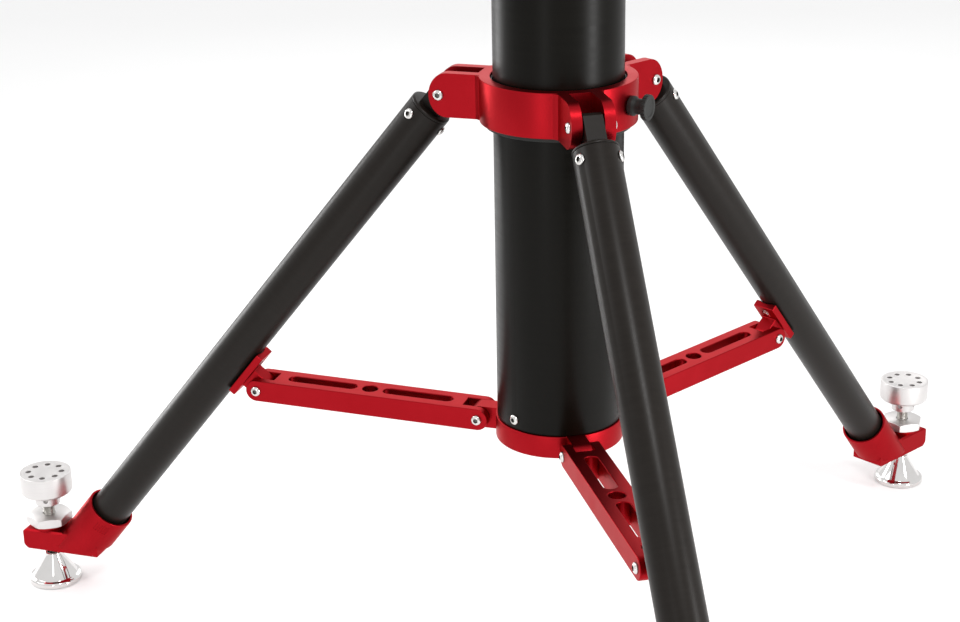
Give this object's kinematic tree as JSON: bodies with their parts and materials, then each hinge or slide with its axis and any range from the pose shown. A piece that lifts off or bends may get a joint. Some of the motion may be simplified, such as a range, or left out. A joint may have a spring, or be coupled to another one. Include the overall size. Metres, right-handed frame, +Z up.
{
  "type": "folding pier tripod",
  "caption": "Pier tripod: tubular column, sliding collar, hinged legs with spreader arms and levelling screw feet.",
  "frame": {"origin": "on the floor, at the centre of the footprint's bounding box; the column's axis stands at x = 0.132", "axes": "+Z up along the column, +X opposite the left leg, with the clamp knob 13 degrees off it, +Y across, on the right leg's side"},
  "size_m": [0.8441, 0.9688, 0.828],
  "materials": {
    "column_black": "black anodised, semi-matt",
    "leg_black": "black anodised, semi-matt",
    "red_aluminium": "red anodised, fine satin",
    "polymer": "black moulded polymer",
    "screws": "bright stainless screws",
    "satin_metal": "turned satin aluminium",
    "chrome_foot": "polished steel"
  },
  "bodies": {
    "column": {"column_tube": "column_black", "base_ring": "red_aluminium", "head_plate": "red_aluminium", "base_screw_left": "screws", "base_screw_front": "screws", "base_screw_right": "screws", "head_screw_left": "screws", "head_screw_front": "screws", "head_screw_right": "screws"},
    "collar": {"collar_ring": "red_aluminium", "collar_bushing": "polymer", "hinge_screw_left_a": "screws", "hinge_screw_left_b": "screws", "hinge_screw_front_a": "screws", "hinge_screw_front_b": "screws", "hinge_screw_right_a": "screws", "hinge_screw_right_b": "screws"},
    "clamp": {"clamp_knob": "polymer"},
    "arm_left": {"arm_left": "red_aluminium", "arm_inner_pin_left": "screws", "arm_outer_pin_left": "screws"},
    "leg_left": {"leg_tube_left": "leg_black", "leg_insert_left": "leg_black", "insert_screw_left_1": "screws", "insert_screw_left_2": "screws", "insert_screw_left_3": "screws", "leg_bracket_left": "red_aluminium", "foot_bracket_left": "red_aluminium", "lock_nut_left": "satin_metal"},
    "foot_left": {"foot_screw_left": "screws"},
    "knob_left": {"foot_knob_left": "satin_metal"},
    "pad_left": {"foot_pad_left": "chrome_foot"},
    "arm_front": {"arm_front": "red_aluminium", "arm_inner_pin_front": "screws", "arm_outer_pin_front": "screws"},
    "leg_front": {"leg_tube_front": "leg_black", "leg_insert_front": "leg_black", "insert_screw_front_1": "screws", "insert_screw_front_2": "screws", "insert_screw_front_3": "screws", "leg_bracket_front": "red_aluminium", "foot_bracket_front": "red_aluminium", "lock_nut_front": "satin_metal"},
    "foot_front": {"foot_screw_front": "screws"},
    "knob_front": {"foot_knob_front": "satin_metal"},
    "pad_front": {"foot_pad_front": "chrome_foot"},
    "arm_right": {"arm_right": "red_aluminium", "arm_inner_pin_right": "screws", "arm_outer_pin_right": "screws"},
    "leg_right": {"leg_tube_right": "leg_black", "leg_insert_right": "leg_black", "insert_screw_right_1": "screws", "insert_screw_right_2": "screws", "insert_screw_right_3": "screws", "leg_bracket_right": "red_aluminium", "foot_bracket_right": "red_aluminium", "lock_nut_right": "satin_metal"},
    "foot_right": {"foot_screw_right": "screws"},
    "knob_right": {"foot_knob_right": "satin_metal"},
    "pad_right": {"foot_pad_right": "chrome_foot"}
  },
  "joints": [
    {"name": "collar_slide", "type": "slide", "parent": "column", "child": "collar", "axis": [0, 0, 1], "range_m": [0, 0.20807]},
    {"name": "clamp_turn", "type": "hinge", "parent": "collar", "child": "clamp", "pos_m": [0.1968, -0.01496, 0.529], "axis": [0.9744, -0.225, 0], "range_deg": [0, 180]},
    {"name": "arm_left_fold", "type": "hinge", "parent": "column", "child": "arm_left", "pos_m": [0.0595, 0, 0.233], "axis": [0, 1, 0], "range_deg": [0, 53.14]},
    {"name": "leg_left_fold", "type": "hinge", "parent": "arm_left", "child": "leg_left", "pos_m": [-0.15414, 0, 0.23748], "axis": [0, 1, 0], "range_deg": [-69.14, 0]},
    {"name": "foot_left_level", "type": "slide", "parent": "leg_left", "child": "foot_left", "axis": [0, 0, 1], "range_m": [-0.007, 0.007]},
    {"name": "knob_left_turn", "type": "hinge", "parent": "foot_left", "child": "knob_left", "pos_m": [-0.396, 0, 0.1185], "axis": [0, 0, 1], "range_deg": [-1440, 1440]},
    {"name": "pad_left_tilt", "type": "hinge", "parent": "foot_left", "child": "pad_left", "pos_m": [-0.396, 0, 0.025], "axis": [0, 1, 0], "range_deg": [-8, 8]},
    {"name": "arm_front_fold", "type": "hinge", "parent": "column", "child": "arm_front", "pos_m": [0.16825, -0.06279, 0.233], "axis": [-0.866, -0.5, 0], "range_deg": [0, 53.14]},
    {"name": "leg_front_fold", "type": "hinge", "parent": "arm_front", "child": "leg_front", "pos_m": [0.27507, -0.24781, 0.23748], "axis": [-0.866, -0.5, 0], "range_deg": [-69.14, 0]},
    {"name": "foot_front_level", "type": "slide", "parent": "leg_front", "child": "foot_front", "axis": [0, 0, 1], "range_m": [-0.007, 0.007]},
    {"name": "knob_front_turn", "type": "hinge", "parent": "foot_front", "child": "knob_front", "pos_m": [0.396, -0.45726, 0.1185], "axis": [0, 0, 1], "range_deg": [-1440, 1440]},
    {"name": "pad_front_tilt", "type": "hinge", "parent": "foot_front", "child": "pad_front", "pos_m": [0.396, -0.45726, 0.025], "axis": [-0.866, -0.5, 0], "range_deg": [-8, 8]},
    {"name": "arm_right_fold", "type": "hinge", "parent": "column", "child": "arm_right", "pos_m": [0.16825, 0.06279, 0.233], "axis": [0.866, -0.5, 0], "range_deg": [0, 53.14]},
    {"name": "leg_right_fold", "type": "hinge", "parent": "arm_right", "child": "leg_right", "pos_m": [0.27507, 0.24781, 0.23748], "axis": [0.866, -0.5, 0], "range_deg": [-69.14, 0]},
    {"name": "foot_right_level", "type": "slide", "parent": "leg_right", "child": "foot_right", "axis": [0, 0, 1], "range_m": [-0.007, 0.007]},
    {"name": "knob_right_turn", "type": "hinge", "parent": "foot_right", "child": "knob_right", "pos_m": [0.396, 0.45726, 0.1185], "axis": [0, 0, 1], "range_deg": [-1440, 1440]},
    {"name": "pad_right_tilt", "type": "hinge", "parent": "foot_right", "child": "pad_right", "pos_m": [0.396, 0.45726, 0.025], "axis": [0.866, -0.5, 0], "range_deg": [-8, 8]}
  ],
  "couplings": [
    {"joint": "arm_left_fold", "follows": "collar_slide", "rad_per_m": 4.4157},
    {"joint": "leg_left_fold", "follows": "collar_slide", "rad_per_m": -5.7578},
    {"joint": "knob_left_turn", "follows": "foot_left_level", "rad_per_m": -3590.4},
    {"joint": "arm_front_fold", "follows": "collar_slide", "rad_per_m": 4.4157},
    {"joint": "leg_front_fold", "follows": "collar_slide", "rad_per_m": -5.7578},
    {"joint": "knob_front_turn", "follows": "foot_front_level", "rad_per_m": -3590.4},
    {"joint": "arm_right_fold", "follows": "collar_slide", "rad_per_m": 4.4157},
    {"joint": "leg_right_fold", "follows": "collar_slide", "rad_per_m": -5.7578},
    {"joint": "knob_right_turn", "follows": "foot_right_level", "rad_per_m": -3590.4}
  ]
}
